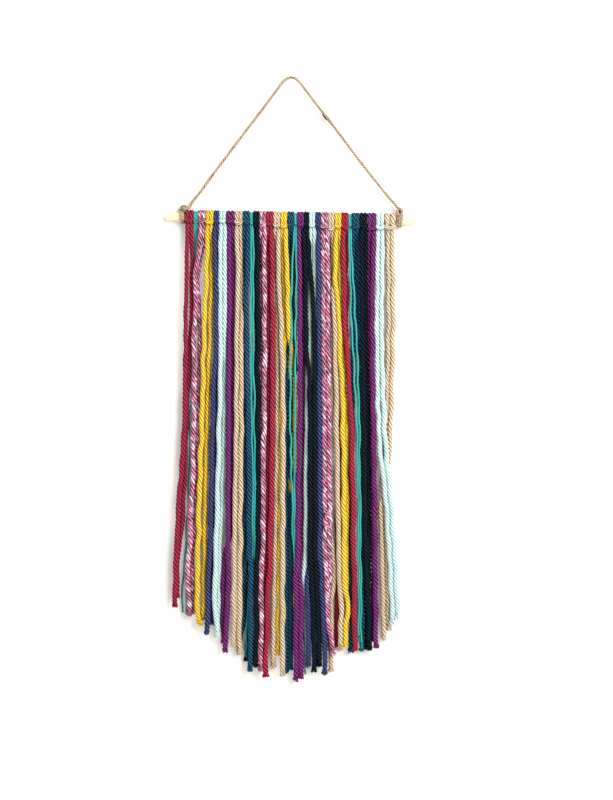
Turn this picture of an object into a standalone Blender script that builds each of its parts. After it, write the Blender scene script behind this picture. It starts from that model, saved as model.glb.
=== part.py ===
"""Yarn wall hanging on a wooden dowel, hung by a twine hanger.

The dowel carries a row of 31 yarns. Each yarn is one length, folded in half and
fixed by a lark's-head knot: two wraps over the dowel, a bar across the front and
two strands that hang below it. The twine is tied round the dowel at both ends.

Frame: +Z up, the hanging faces -Y, the wall is at +Y. The origin is the point
where the underside of the twine rests on its nail.
"""

import math

import bmesh
import bpy
from mathutils import Matrix, Vector

MM = 0.001
COLLECTION = "yarn_wall_hanging"

# The dowel: a 12 inch length of 3/8 inch rod, which hangs a little lower at its right end.
DOWEL_LENGTH = 304.8
DOWEL_RADIUS = 4.75
DOWEL_CENTRE_X = -0.4
DOWEL_Z = -170.8
DOWEL_TILT = math.radians(1.0)
DOWEL_SIDES = 24
DOWEL_CHAMFER = 0.6
GAP = 0.3

# The lark's-head knots, all measured from the dowel's own axis.
ROW_START_X = -129.5
KNOT_STEPS = 10
WRAP_OUTER = 8.1
WRAP_WAIST = 7.0
WRAP_EDGE = 6.8
BAR_RADIUS = 1.9
BAR_Y = -7.6
BAR_DROP = 6.4
BAR_ROUND = 1.1
BAR_END_SHARE = 0.6
ROOT_Y = -4.5
ROOT_DROP = 4.4
ROOT_RADIUS = 1.1
ROOT_SPREAD_MOST = 2.4

# The hanging strands. They lie in layers, one in front of another.
YARN_RADIUS = {"turquoise": 1.35, "tan": 2.6}
USUAL_YARN_RADIUS = 2.35
NECK_Y = -5.6
LAYER_Y = (-7.5, -2.2, 3.1)
LAYER_SWAP = (360.0, 480.0)
NECK_END = 45.0
STRAND_GAP = 0.4
STATIONS = (16.0, 45.0, 90.0, 150.0, 210.0, 270.0, 330.0, 390.0, 450.0, 510.0)
DRIFT_HEIGHTS = (120.0, 240.0, 360.0)
LAST_STATION_MARGIN = 25.0

# One row for each yarn, from the left: its colour and the width of its knot, then
# its left and right strand. A strand's columns are how far it has drifted sideways
# from the middle of its knot at 120, 240 and 360 mm below the dowel and at its cut
# end, how far below the dowel it is cut, and its layer at the top and at the foot.
YARNS = (
    ("burgundy", 10.5, (-4, -5.5, -13.5, -16.5, 472, 0, 0), (2, -3, -6.5, -12.5, 465, 1, 1)),
    ("turquoise", 5.5, (-4, -7, -10.5, -17.5, 480, 1, 1), (-0.5, -5, -7.5, -12.5, 482, 1, 1)),
    ("pink", 9, (-8.5, -9.5, -13, -15.5, 483, 0, 0), (-2.5, -4.5, -7.5, -11, 481, 1, 1)),
    ("yellow", 10, (-6, -9, -13, -12.5, 494, 0, 0), (0.5, -3.5, -6, -8.5, 489, 1, 1)),
    ("navy", 6.5, (0, -4.5, -6.5, -11, 505, 0, 0), (2.5, -2, -4, -5.5, 494, 1, 1)),
    ("aqua", 8.5, (-1.5, -3.5, -6, -5.5, 508, 0, 0), (2.5, 1.5, -1, -4, 501, 1, 1)),
    ("purple", 10.5, (-2, -2, -3, -6.5, 527, 0, 0), (2.5, 2.5, 1.5, -9, 517, 1, 1)),
    ("beige", 10, (-2, -2.5, -4.5, -6, 520, 0, 0), (3, 3, 2, 1, 528, 0, 0)),
    ("petrol", 8.5, (-1, 0, -1.5, -5.5, 515, 1, 1), (0, 1.5, 5.5, 5, 550, 0, 0)),
    ("turquoise", 4, (0, 0.5, 2, -7, 533, 1, 1), (3.5, 4.5, 5, -3.5, 530, 1, 1)),
    ("black", 7.5, (0.5, -1.5, -5, -11.5, 539, 2, 2), (2.5, 2.5, 1.5, 0, 545, 0, 0)),
    ("pink", 8, (-2, -3, -4.5, -6, 538, 1, 1), (2.5, 2, -1, -2, 550, 0, 0)),
    ("crimson", 9, (-1.5, -1, -3.5, -7.5, 544, 1, 1), (4, 3.5, 2, -4.5, 557, 0, 0)),
    ("beige", 8.5, (0.5, 0.5, -1, -4.5, 547, 1, 1), (5, 8, 7.5, 7, 556, 0, 0)),
    ("yellow", 8.5, (1, -3, -4.5, -6.5, 531, 1, 1), (6, 10.5, 11, 9, 514, 1, 1)),
    ("petrol", 8.5, (0.5, -4.5, -4, -6, 554, 2, 2), (3.5, 0.5, 1.5, 1, 550, 2, 2)),
    ("turquoise", 3.5, (-5.5, -6.5, -3, 1.5, 532, 0, 1), (0, -0.5, -1.5, 11.5, 555, 0, 2)),
    ("purple", 8.5, (-1, -1, -3.5, -5, 562, 0, 0), (3, 2, 1.5, 1, 559, 1, 1)),
    ("black", 6, (-1, 5, 6, 9.5, 551, 0, 0), (9, 10.5, 11.5, 15, 544, 0, 0)),
    ("aqua", 7.5, (-2.5, -6, -7.5, -6, 548, 1, 1), (3.5, 6, 7.5, 8.5, 538, 1, 1)),
    ("navy", 7, (-2, -6, -10, -12, 548, 2, 2), (2, 2, 3, 8, 554, 0, 0)),
    ("pink", 8.5, (1, 1.5, 2, 9.5, 530, 0, 0), (4.5, 4, 5, 5, 526, 1, 1)),
    ("beige", 8, (1.5, 0, 1, 2.5, 541, 0, 1), (5.5, 6.5, 8.5, 13.5, 525, 0, 0)),
    ("yellow", 8.5, (0, 6, 7.5, 7, 508, 0, 1), (5, 9.5, 10.5, 12, 499, 1, 1)),
    ("crimson", 8.5, (-0.5, 7.5, 10, 12, 525, 0, 0), (2, -3.5, -8.5, -9.5, 523, 2, 2)),
    ("turquoise", 4, (1.5, 7, 9.5, 10, 514, 0, 0), (6.5, 11.5, 12.5, 13.5, 522, 0, 0)),
    ("petrol", 9.5, (-2.5, -3.5, -6.5, -6.5, 528, 1, 1), (2, 7, 9, 10, 526, 1, 1)),
    ("black", 9.5, (-2, 0.5, 1.5, 7.5, 532, 0, 0), (3, 5.5, 7.5, 3, 525, 1, 1)),
    ("purple", 10.5, (-2.5, 0, 1.5, 2.5, 514, 1, 1), (1, 2, 4, 5, 522, 0, 0)),
    ("aqua", 10, (-4, -2.5, 9, 16, 493, 0, 0), (1.5, 4.5, 14.5, 22, 485, 0, 0)),
    ("tan", 14.5, (-1.5, -5.5, -10, -7.5, 513, 1, 1), (3.5, 1, -4.5, -1.5, 501, 1, 1)),
)

# The twine: its ties round the dowel, and the route of the hanger from tie to tie.
TWINE_RADIUS = 1.6
TIE_OUTER = 7.9
TIE_WAIST = 6.9
TIE_KNOT_RADIUS = 4.0
TIE_RIDGE_RADIUS = 1.5
TIES = {
    # name: middle of the wraps in x, their width, and the knot on top of them as x, z
    "twine_tie_left": (-132.9, 6.0, -131.4, -157.8),
    "twine_tie_right": (131.6, 7.4, 131.2, -162.2),
}
TAIL_TOP = (133.4, -6.4, -177.0)
TAIL_FOOT = (134.2, -6.9, -189.0)
TAIL_RADIUS = 1.2
HANGER_ROUTE = (
    (-126.4, -156.4), (-124.2, -154.5), (-120.3, -150.4), (-109.2, -136.0), (-93.4, -114.0),
    (-76.6, -92.0), (-60.2, -70.1), (-43.4, -48.2), (-27.0, -26.6), (-15.6, -11.2),
    (-7.6, -1.2), (0.0, 1.9), (7.4, -1.6), (15.4, -11.2), (27.0, -26.4),
    (44.0, -48.2), (60.8, -70.1), (77.2, -92.0), (94.2, -114.0), (111.4, -136.0),
    (122.2, -149.6), (127.7, -157.4),
)
HANGER_POINTS = 56

COLOURS = {
    "wood": (0.86, 0.75, 0.52),
    "twine": (0.42, 0.27, 0.14),
    "burgundy": (0.20, 0.012, 0.035),
    "turquoise": (0.06, 0.55, 0.50),
    "pink": (0.72, 0.20, 0.36),
    "yellow": (0.92, 0.58, 0.05),
    "navy": (0.03, 0.035, 0.15),
    "aqua": (0.66, 0.88, 0.85),
    "purple": (0.13, 0.015, 0.12),
    "beige": (0.78, 0.60, 0.38),
    "tan": (0.70, 0.50, 0.30),
    "petrol": (0.01, 0.07, 0.14),
    "black": (0.006, 0.008, 0.012),
    "crimson": (0.42, 0.02, 0.05),
}
WOOD_ROUGHNESS = 0.55
YARN_ROUGHNESS = 0.85


def clear_scene():
    for thing in list(bpy.data.objects):
        bpy.data.objects.remove(thing, do_unlink=True)


def make_collection(name):
    collection = bpy.data.collections.new(name)
    bpy.context.scene.collection.children.link(collection)
    return collection


def make_material(name, roughness):
    material = bpy.data.materials.new(name)
    material.use_nodes = True
    shader = material.node_tree.nodes["Principled BSDF"]
    shader.inputs["Base Color"].default_value = (*COLOURS[name], 1.0)
    shader.inputs["Roughness"].default_value = roughness
    shader.inputs["Metallic"].default_value = 0.0
    return material


def add_mesh_object(name, mesh, collection, material=None):
    thing = bpy.data.objects.new(name, mesh)
    collection.objects.link(thing)
    if material:
        mesh.materials.append(material)
    return thing


def smooth_step(value, low, high):
    share = min(1.0, max(0.0, (value - low) / (high - low)))
    return share * share * (3.0 - 2.0 * share)


def through_points(points, value):
    """Read a smooth curve through (position, height) points, with no overshoot."""
    for index in range(len(points) - 1):
        if value <= points[index + 1][0] or index == len(points) - 2:
            break
    (start, low), (end, high) = points[index], points[index + 1]
    run = end - start

    def slope_at(spot):
        if spot == 0 or spot == len(points) - 1:
            return 0.0
        before = (points[spot][1] - points[spot - 1][1]) / (points[spot][0] - points[spot - 1][0])
        after = (points[spot + 1][1] - points[spot][1]) / (points[spot + 1][0] - points[spot][0])
        if before * after <= 0.0:
            return 0.0
        return 2.0 * before * after / (before + after)

    first = slope_at(index)
    last = slope_at(index + 1)
    t = min(1.0, max(0.0, (value - start) / run))
    return (
        low * (2 * t**3 - 3 * t**2 + 1)
        + first * run * (t**3 - 2 * t**2 + t)
        + high * (3 * t**2 - 2 * t**3)
        + last * run * (t**3 - t**2)
    )


def axis_z(x):
    """Height of the dowel's axis above the sideways place x."""
    return DOWEL_Z - (x - DOWEL_CENTRE_X) * math.tan(DOWEL_TILT)


def lay_out_yarns():
    """Give each yarn its place along the dowel, and each strand its root and size."""
    yarns = []
    edge = ROW_START_X
    for number, (colour, width, left, right) in enumerate(YARNS, start=1):
        middle = edge + width / 2
        edge += width
        radius = YARN_RADIUS.get(colour, USUAL_YARN_RADIUS)
        spread = min(width / 4, ROOT_SPREAD_MOST)
        strands = []
        for side, row in ((-1, left), (1, right)):
            strands.append({
                "middle": middle,
                "root_x": middle + side * spread,
                "neck": min(spread - GAP / 2, radius) - 0.05,
                "radius": radius,
                "drifts": row[:4],
                "cut": row[4],
                "layers": row[5:],
            })
        yarns.append({
            "name": f"yarn_{number:02d}_{colour}",
            "colour": colour,
            "middle": middle,
            "width": width - GAP,
            "thin": colour == "turquoise",
            "strands": strands,
        })
    return yarns


def wished_place(strand, drop):
    """Sideways place, depth and radius that a strand has if nothing is in its way."""
    points = [(ROOT_DROP, strand["root_x"])]
    for height, drift in zip(DRIFT_HEIGHTS, strand["drifts"]):
        points.append((height, strand["middle"] + drift))
    points.append((strand["cut"], strand["middle"] + strand["drifts"][3]))
    x = through_points(points, drop)
    top_layer, foot_layer = strand["layers"]
    swap = smooth_step(drop, *LAYER_SWAP)
    layer_y = LAYER_Y[top_layer] + (LAYER_Y[foot_layer] - LAYER_Y[top_layer]) * swap
    spread = smooth_step(drop, STATIONS[0], NECK_END)
    y = NECK_Y + (layer_y - NECK_Y) * spread
    radius = strand["neck"] + (strand["radius"] - strand["neck"]) * spread
    return x, y, radius


def settle_strands(strands, drop):
    """Push neighbours apart sideways where their wished places would overlap."""
    wished = [wished_place(strand, drop) for strand in strands]
    order = sorted(range(len(strands)), key=lambda index: wished[index][0])
    places = [wished[index][0] for index in order]
    for _ in range(400):
        moved = False
        for first in range(len(order)):
            for second in range(first + 1, min(first + 7, len(order))):
                _, y1, r1 = wished[order[first]]
                _, y2, r2 = wished[order[second]]
                reach = r1 + r2 + STRAND_GAP
                depth = abs(y1 - y2)
                if depth >= reach:
                    continue
                lack = math.sqrt(reach**2 - depth**2) - (places[second] - places[first])
                if lack > 1e-6:
                    places[first] -= lack / 2
                    places[second] += lack / 2
                    moved = True
        if not moved:
            break
    settled = {}
    for place, index in zip(places, order):
        _, y, radius = wished[index]
        settled[index] = (place, y, radius)
    return settled


def strand_paths(yarns):
    """List each strand's points, as x, y, z and radius, from its knot to its cut end."""
    strands = [strand for yarn in yarns for strand in yarn["strands"]]
    for strand in strands:
        root_z = axis_z(strand["root_x"]) - ROOT_DROP
        strand["path"] = [(strand["root_x"], ROOT_Y, root_z, min(ROOT_RADIUS, strand["neck"]))]
    for drop in STATIONS:
        settled = settle_strands(strands, drop)
        for index, strand in enumerate(strands):
            if drop < strand["cut"] - LAST_STATION_MARGIN:
                x, y, radius = settled[index]
                strand["path"].append((x, y, DOWEL_Z - drop, radius))
    for index, strand in enumerate(strands):
        x, y, radius = settle_strands(strands, strand["cut"])[index]
        strand["path"].append((x, y, DOWEL_Z - strand["cut"], radius))


def make_tube(name, points, collection, sides_level):
    """Sweep a round section along (x, y, z, radius) points and return a closed mesh object."""
    curve = bpy.data.curves.new(name, "CURVE")
    curve.dimensions = "3D"
    curve.bevel_depth = MM
    curve.bevel_resolution = sides_level
    curve.use_fill_caps = True
    spline = curve.splines.new("POLY")
    spline.points.add(len(points) - 1)
    for point, (x, y, z, radius) in zip(spline.points, points):
        point.co = (x * MM, y * MM, z * MM, 1.0)
        point.radius = radius
    holder = bpy.data.objects.new(name + "_curve", curve)
    collection.objects.link(holder)
    bpy.context.view_layer.update()
    evaluated = holder.evaluated_get(bpy.context.evaluated_depsgraph_get())
    mesh = bpy.data.meshes.new_from_object(evaluated)
    mesh.name = name
    bpy.data.objects.remove(holder, do_unlink=True)
    weld = bmesh.new()
    weld.from_mesh(mesh)
    bmesh.ops.remove_doubles(weld, verts=weld.verts, dist=1e-6)
    weld.to_mesh(mesh)
    weld.free()
    return add_mesh_object(name, mesh, collection)


def make_turned(name, profile, steps, collection):
    """Turn a closed (along, radius) profile round the dowel's axis with a Screw modifier."""
    mesh = bpy.data.meshes.new(name)
    count = len(profile)
    corners = [(along * MM, 0.0, radius * MM) for along, radius in profile]
    edges = [(index, (index + 1) % count) for index in range(count)]
    mesh.from_pydata(corners, edges, [])
    turned = add_mesh_object(name, mesh, collection)
    screw = turned.modifiers.new("turn", "SCREW")
    screw.axis = "X"
    screw.angle = math.tau
    screw.steps = steps
    screw.render_steps = steps
    screw.use_merge_vertices = True
    screw.merge_threshold = 0.00001
    screw.use_normal_calculate = True
    return turned


def hide_tool(thing):
    thing.hide_render = True
    thing.display_type = "WIRE"


def join_to(body, tools):
    """Unite the tools with the body, so that they are one closed solid."""
    for tool in tools:
        union = body.modifiers.new(tool.name, "BOOLEAN")
        union.operation = "UNION"
        union.solver = "EXACT"
        union.object = tool
        hide_tool(tool)


def dowel_frame(x):
    """Matrix of a piece that is threaded on the dowel at the sideways place x."""
    return Matrix.Translation((x * MM, 0.0, axis_z(x) * MM)) @ Matrix.Rotation(DOWEL_TILT, 4, "Y")


def make_dowel(collection):
    bpy.ops.mesh.primitive_cylinder_add(
        vertices=DOWEL_SIDES, radius=DOWEL_RADIUS * MM, depth=DOWEL_LENGTH * MM
    )
    dowel = bpy.context.active_object
    dowel.name = "dowel"
    dowel.data.name = "dowel"
    for owner in list(dowel.users_collection):
        owner.objects.unlink(dowel)
    collection.objects.link(dowel)
    lie_down = Matrix.Rotation(math.radians(90), 4, "Y")
    dowel.matrix_world = dowel_frame(DOWEL_CENTRE_X) @ lie_down
    bevel = dowel.modifiers.new("sanded_ends", "BEVEL")
    bevel.width = DOWEL_CHAMFER * MM
    bevel.segments = 1
    bevel.limit_method = "ANGLE"
    bevel.angle_limit = math.radians(60)
    dowel.data.materials.append(make_material("wood", WOOD_ROUGHNESS))
    return dowel


def collar_profile(width, outer, waist, edge, steps):
    """Closed outline of two round wraps side by side, open in the middle for the dowel."""
    bore = (DOWEL_RADIUS + GAP) / math.cos(math.pi / steps)
    half = width / 2
    return (
        (half, edge), (half / 2, outer), (0.0, waist), (-half / 2, outer), (-half, edge),
        (-half, bore), (half, bore),
    )


def make_yarn(yarn, material, collection, tools):
    """Knot one yarn on the dowel: the wraps, the bar in front and the two strands."""
    name = yarn["name"]
    slimmer = 1.1 if yarn["thin"] else 0.0
    profile = collar_profile(
        yarn["width"], WRAP_OUTER - slimmer, WRAP_WAIST - slimmer / 2, WRAP_EDGE - slimmer / 2, KNOT_STEPS
    )
    knot = make_turned(name, profile, KNOT_STEPS, collection)
    knot.matrix_world = dowel_frame(yarn["middle"])
    knot.data.materials.append(material)

    bar_radius = BAR_RADIUS - slimmer / 2
    half = yarn["width"] / 2
    round_end = min(BAR_ROUND, half / 2)
    level = axis_z(yarn["middle"]) - BAR_DROP
    bar_points = [
        (yarn["middle"] + along, BAR_Y + slimmer * 1.3, level, bar_radius * share)
        for along, share in (
            (-half, BAR_END_SHARE), (round_end - half, 1.0), (half - round_end, 1.0), (half, BAR_END_SHARE),
        )
    ]
    pieces = [make_tube(name + "_bar", bar_points, tools, 1)]
    for label, strand in zip(("left", "right"), yarn["strands"]):
        pieces.append(make_tube(f"{name}_{label}_strand", strand["path"], tools, 0))
    join_to(knot, pieces)


def make_tie(name, material, collection, tools):
    """Tie the twine round the dowel: two wraps and an overhand knot on top of them."""
    middle, width, knot_x, knot_z = TIES[name]
    profile = collar_profile(width, TIE_OUTER, TIE_WAIST, TIE_WAIST, KNOT_STEPS)
    tie = make_turned(name, profile, KNOT_STEPS, collection)
    tie.matrix_world = dowel_frame(middle)
    tie.data.materials.append(material)

    bpy.ops.mesh.primitive_uv_sphere_add(segments=10, ring_count=7, radius=TIE_KNOT_RADIUS * MM)
    lump = bpy.context.active_object
    lump.name = name + "_lump"
    bpy.ops.mesh.primitive_torus_add(
        major_segments=12, minor_segments=6,
        major_radius=TIE_KNOT_RADIUS * 0.75 * MM, minor_radius=TIE_RIDGE_RADIUS * MM,
    )
    turn = bpy.context.active_object
    turn.name = name + "_turn"
    for piece in (lump, turn):
        for owner in list(piece.users_collection):
            owner.objects.unlink(piece)
        tools.objects.link(piece)
    spot = Matrix.Translation((knot_x * MM, -1.0 * MM, knot_z * MM))
    lump.matrix_world = spot
    turn.matrix_world = spot @ Matrix.Rotation(math.radians(68), 4, "X") @ Matrix.Rotation(0.5, 4, "Y")
    pieces = [lump, turn]
    if name == "twine_tie_right":
        tail = [(*TAIL_TOP, TAIL_RADIUS), (*TAIL_FOOT, TAIL_RADIUS * 0.7)]
        pieces.append(make_tube(name + "_tail", tail, tools, 1))
    join_to(tie, pieces)


def hanger_points():
    """Read evenly spaced points from a smooth curve through the hanger's route."""
    route = [Vector((x, 0.0, z)) for x, z in HANGER_ROUTE]
    fine = []
    for index in range(len(route) - 1):
        before = route[max(index - 1, 0)]
        here = route[index]
        there = route[index + 1]
        after = route[min(index + 2, len(route) - 1)]
        for step in range(12):
            t = step / 12
            fine.append(
                0.5 * (2 * here + (there - before) * t
                       + (2 * before - 5 * here + 4 * there - after) * t**2
                       + (3 * here - before - 3 * there + after) * t**3)
            )
    fine.append(route[-1])
    along = [0.0]
    for first, second in zip(fine, fine[1:]):
        along.append(along[-1] + (second - first).length)
    points = []
    spot = 0
    for count in range(HANGER_POINTS):
        goal = along[-1] * count / (HANGER_POINTS - 1)
        while spot < len(fine) - 2 and along[spot + 1] < goal:
            spot += 1
        share = (goal - along[spot]) / (along[spot + 1] - along[spot])
        points.append((*fine[spot].lerp(fine[spot + 1], share), TWINE_RADIUS))
    return points


def main():
    clear_scene()
    collection = make_collection(COLLECTION)
    tools = make_collection(COLLECTION + "_tools")
    make_dowel(collection)

    twine = make_material("twine", YARN_ROUGHNESS)
    for name in TIES:
        make_tie(name, twine, collection, tools)
    hanger = make_tube("hanger_twine", hanger_points(), collection, 2)
    hanger.data.materials.append(twine)

    yarns = lay_out_yarns()
    strand_paths(yarns)
    materials = {}
    for yarn in yarns:
        colour = yarn["colour"]
        if colour not in materials:
            materials[colour] = make_material(colour, YARN_ROUGHNESS)
        make_yarn(yarn, materials[colour], collection, tools)


main()
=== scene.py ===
"""Yarn wall hanging: 31 yarns knotted on a wooden dowel that hangs from a jute twine."""

import math
import random

import bpy
import numpy as np
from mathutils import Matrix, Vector


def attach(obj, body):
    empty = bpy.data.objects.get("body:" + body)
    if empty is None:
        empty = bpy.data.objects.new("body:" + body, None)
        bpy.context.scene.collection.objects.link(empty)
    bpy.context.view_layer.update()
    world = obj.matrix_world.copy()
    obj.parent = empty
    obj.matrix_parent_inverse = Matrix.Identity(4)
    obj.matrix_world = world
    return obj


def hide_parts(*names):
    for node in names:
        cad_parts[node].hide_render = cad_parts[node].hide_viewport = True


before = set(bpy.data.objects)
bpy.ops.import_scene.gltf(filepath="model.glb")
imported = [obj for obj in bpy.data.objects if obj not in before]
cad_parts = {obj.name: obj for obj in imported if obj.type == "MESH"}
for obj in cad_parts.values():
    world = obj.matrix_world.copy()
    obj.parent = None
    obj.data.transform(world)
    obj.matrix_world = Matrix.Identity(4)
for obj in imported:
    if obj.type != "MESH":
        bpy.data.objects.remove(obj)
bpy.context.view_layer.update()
MM = 0.001


# The dowel
# It is a 12 inch length of 3/8 inch round rod in pale unfinished wood, sawn square and sanded
# at its ends. Its own weight and the yarns let it hang one degree lower at the right end.
DOWEL_LENGTH = 304.8
DOWEL_RADIUS = 4.75
DOWEL_CENTRE_X = -0.4
DOWEL_Z = -170.8
DOWEL_TILT = math.radians(1.0)
DOWEL_SIDES = 72
DOWEL_RING_STEP = 4.0
DOWEL_UNEVEN = 0.05
UNEVEN_LOBES = 3
UNEVEN_TURN = 0.05
UNEVEN_RUN = 0.11
END_PROFILE = ((0.0, 2.6), (0.0, 4.05), (0.14, 4.42), (0.42, 4.66), (0.9, 4.75))
WOOD_PALE = (246, 236, 202)
WOOD_WARM = (238, 222, 184)
WOOD_GRAIN = (226, 208, 172)
WOOD_PORES = (196, 170, 130)
GRAIN_STRETCH = 0.06
GRAIN_SCALE = 900.0
BAND_SCALE = 220.0
PORE_SCALE = 2600.0
DRY_SHINE = 0.02


def linear(red, green, blue):
    """A colour as a screen gives it, turned into the light that a shader works in."""
    def channel(value):
        share = value / 255
        return share / 12.92 if share <= 0.04045 else ((share + 0.055) / 1.055) ** 2.4

    return (channel(red), channel(green), channel(blue), 1.0)


def axis_z(x):
    """Height of the dowel's axis above the sideways place x."""
    return DOWEL_Z - (x - DOWEL_CENTRE_X) * math.tan(DOWEL_TILT)


def mesh_from_tubes(name, tubes):
    """One mesh of closed tubes, each given as its rings of points and the place of each ring
    along it. The UV map holds the share of the way round and the place along, in metres."""
    points, faces, places = [], [], []
    for rings, along in tubes:
        count, sides, _ = rings.shape
        first = len(points)
        points.extend(rings.reshape(-1, 3).tolist())
        for row in range(count - 1):
            low, high = first + row * sides, first + (row + 1) * sides
            for side in range(sides):
                after = (side + 1) % sides
                faces.append((low + side, low + after, high + after, high + side))
                left, right = side / sides, (side + 1) / sides
                here, ahead = along[row], along[row + 1]
                places.extend((left, here, right, here, right, ahead, left, ahead))
        for row, turn in ((0, -1), (count - 1, 1)):
            middle, start = len(points), first + row * sides
            points.append(rings[row].mean(axis=0).tolist())
            for side in range(sides):
                after = (side + 1) % sides
                pair = (start + side, start + after) if turn > 0 else (start + after, start + side)
                faces.append((*pair, middle))
                at = (side / sides, (side + 1) / sides)[::turn]
                places.extend((at[0], along[row], at[1], along[row], (side + 0.5) / sides, along[row]))
    mesh = bpy.data.meshes.new(name)
    mesh.from_pydata((np.array(points) * MM).tolist(), [], faces)
    layer = mesh.uv_layers.new(name="strand")
    layer.uv.foreach_set("vector", np.array(places, np.float32) * np.tile((1.0, MM), len(places) // 2))
    mesh.shade_smooth()
    return mesh


scene = bpy.context.scene


def add_piece(name, mesh, material, node):
    """Put a piece into the scene, on the one body, in place of the solid it stands for."""
    piece = bpy.data.objects.new(name, mesh)
    scene.collection.objects.link(piece)
    mesh.materials.append(material)
    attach(piece, "root")
    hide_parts(node)
    return piece


def new_material(name, roughness, sheen=0.0):
    """A dry material that hardly shines, with its node tree and its Principled shader."""
    material = bpy.data.materials.new(name)
    material.use_nodes = True
    shader = material.node_tree.nodes["Principled BSDF"]
    shader.inputs["Roughness"].default_value = roughness
    shader.inputs["Sheen Weight"].default_value = sheen
    shader.inputs["Specular IOR Level"].default_value = DRY_SHINE
    return material, material.node_tree, shader


def add_node(tree, kind, **settings):
    """Add a node with its settings to a material's or a group's tree."""
    node = tree.nodes.new(kind)
    for key, value in settings.items():
        setattr(node, key, value)
    return node


def link(tree, *pairs):
    """Link each pair of sockets: an output and the input that it feeds."""
    for start, end in pairs:
        tree.links.new(start, end)


def fill(tree, socket, value):
    """Give an input its value, or link it where the value is another node's output."""
    if isinstance(value, bpy.types.NodeSocket):
        tree.links.new(value, socket)
    else:
        socket.default_value = value


def maths(tree, operation, first, second=0.0):
    """A Math node on a socket or a number each side."""
    node = add_node(tree, "ShaderNodeMath", operation=operation)
    fill(tree, node.inputs[0], first)
    fill(tree, node.inputs[1], second)
    return node.outputs[0]


def times(tree, first, second):
    """One socket or number multiplied by another."""
    return maths(tree, "MULTIPLY", first, second)


def combine(tree, *values):
    """A vector of three sockets or numbers."""
    node = add_node(tree, "ShaderNodeCombineXYZ")
    for socket, value in zip(node.inputs, values):
        fill(tree, socket, value)
    return node.outputs[0]


def noise_of(tree, vector, scale, detail=2.0, roughness=0.5):
    """The value of a Noise texture at a vector socket."""
    node = add_node(tree, "ShaderNodeTexNoise")
    for name, value in (("Vector", vector), ("Scale", scale), ("Detail", detail), ("Roughness", roughness)):
        fill(tree, node.inputs[name], value)
    return node.outputs["Fac"]


def mixed(tree, share, first, second):
    """A colour between two colours, each a socket or a value."""
    node = add_node(tree, "ShaderNodeMix", data_type="RGBA")
    for index, value in ((0, share), (6, first), (7, second)):
        fill(tree, node.inputs[index], value)
    return node.outputs[2]


def spread(tree, value, low, high, to_low=0.0, to_high=1.0):
    """A value's range from low to high stretched to another range, and held inside it."""
    node = add_node(tree, "ShaderNodeMapRange")
    for index, number in enumerate((low, high, to_low, to_high), start=1):
        node.inputs[index].default_value = number
    tree.links.new(value, node.inputs[0])
    return node.outputs[0]


def add_bump(tree, shader, height, strength, distance):
    """Raise fine relief on a material from a height socket; the distance is in mm."""
    bump = add_node(tree, "ShaderNodeBump")
    bump.inputs["Strength"].default_value = strength
    bump.inputs["Distance"].default_value = distance * MM
    link(tree, (height, bump.inputs["Height"]), (bump.outputs[0], shader.inputs["Normal"]))


def make_wood():
    """Pale wood, with fine grain, broad bands and small pores that all run down the rod."""
    material, tree, shader = new_material("wood_pale", 0.6)
    apart = add_node(tree, "ShaderNodeSeparateXYZ")
    link(tree, (add_node(tree, "ShaderNodeTexCoord").outputs["Object"], apart.inputs[0]))
    x, y, z = apart.outputs
    stretched = combine(tree, times(tree, x, GRAIN_STRETCH), y, z)
    grain = noise_of(tree, stretched, GRAIN_SCALE, 4.0, 0.6)
    bands = noise_of(tree, stretched, BAND_SCALE)
    pores = spread(tree, noise_of(tree, stretched, PORE_SCALE, 1.0), 0.6, 0.72)
    colour = mixed(tree, spread(tree, bands, 0.35, 0.65), linear(*WOOD_PALE), linear(*WOOD_WARM))
    colour = mixed(tree, spread(tree, grain, 0.5, 0.75, 0.0, 0.6), colour, linear(*WOOD_GRAIN))
    colour = mixed(tree, times(tree, pores, 0.5), colour, linear(*WOOD_PORES))
    roughness = spread(tree, bands, 0.3, 0.7, 0.52, 0.7)
    link(tree, (colour, shader.inputs["Base Color"]), (roughness, shader.inputs["Roughness"]))
    add_bump(tree, shader, grain, 0.35, 0.2)
    return material


def make_dowel():
    """Rings along the rod, a little uneven from its machining, closed by rounded ends."""
    half = DOWEL_LENGTH / 2
    steps = int(DOWEL_LENGTH / DOWEL_RING_STEP)
    profile = [(-half + inset, radius) for inset, radius in END_PROFILE]
    profile += [(-half + DOWEL_LENGTH * step / steps, DOWEL_RADIUS) for step in range(1, steps)]
    profile += [(half - inset, radius) for inset, radius in reversed(END_PROFILE)]
    rings = []
    for along, radius in profile:
        ring = []
        for side in range(DOWEL_SIDES):
            turn = math.tau * side / DOWEL_SIDES
            wave = math.sin(UNEVEN_LOBES * turn + along * UNEVEN_TURN) * math.sin(along * UNEVEN_RUN)
            reach = min(radius, DOWEL_RADIUS - DOWEL_UNEVEN + DOWEL_UNEVEN * wave)
            across = reach * math.sin(turn)
            x = DOWEL_CENTRE_X + along * math.cos(DOWEL_TILT) + across * math.sin(DOWEL_TILT)
            drop = along * math.sin(DOWEL_TILT)
            ring.append((x, -reach * math.cos(turn), DOWEL_Z - drop + across))
        rings.append(ring)
    return mesh_from_tubes("dowel_rod", [(np.array(rings), [along for along, _ in profile])])


add_piece("dowel_rod", make_dowel(), make_wood(), "dowel")


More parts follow.
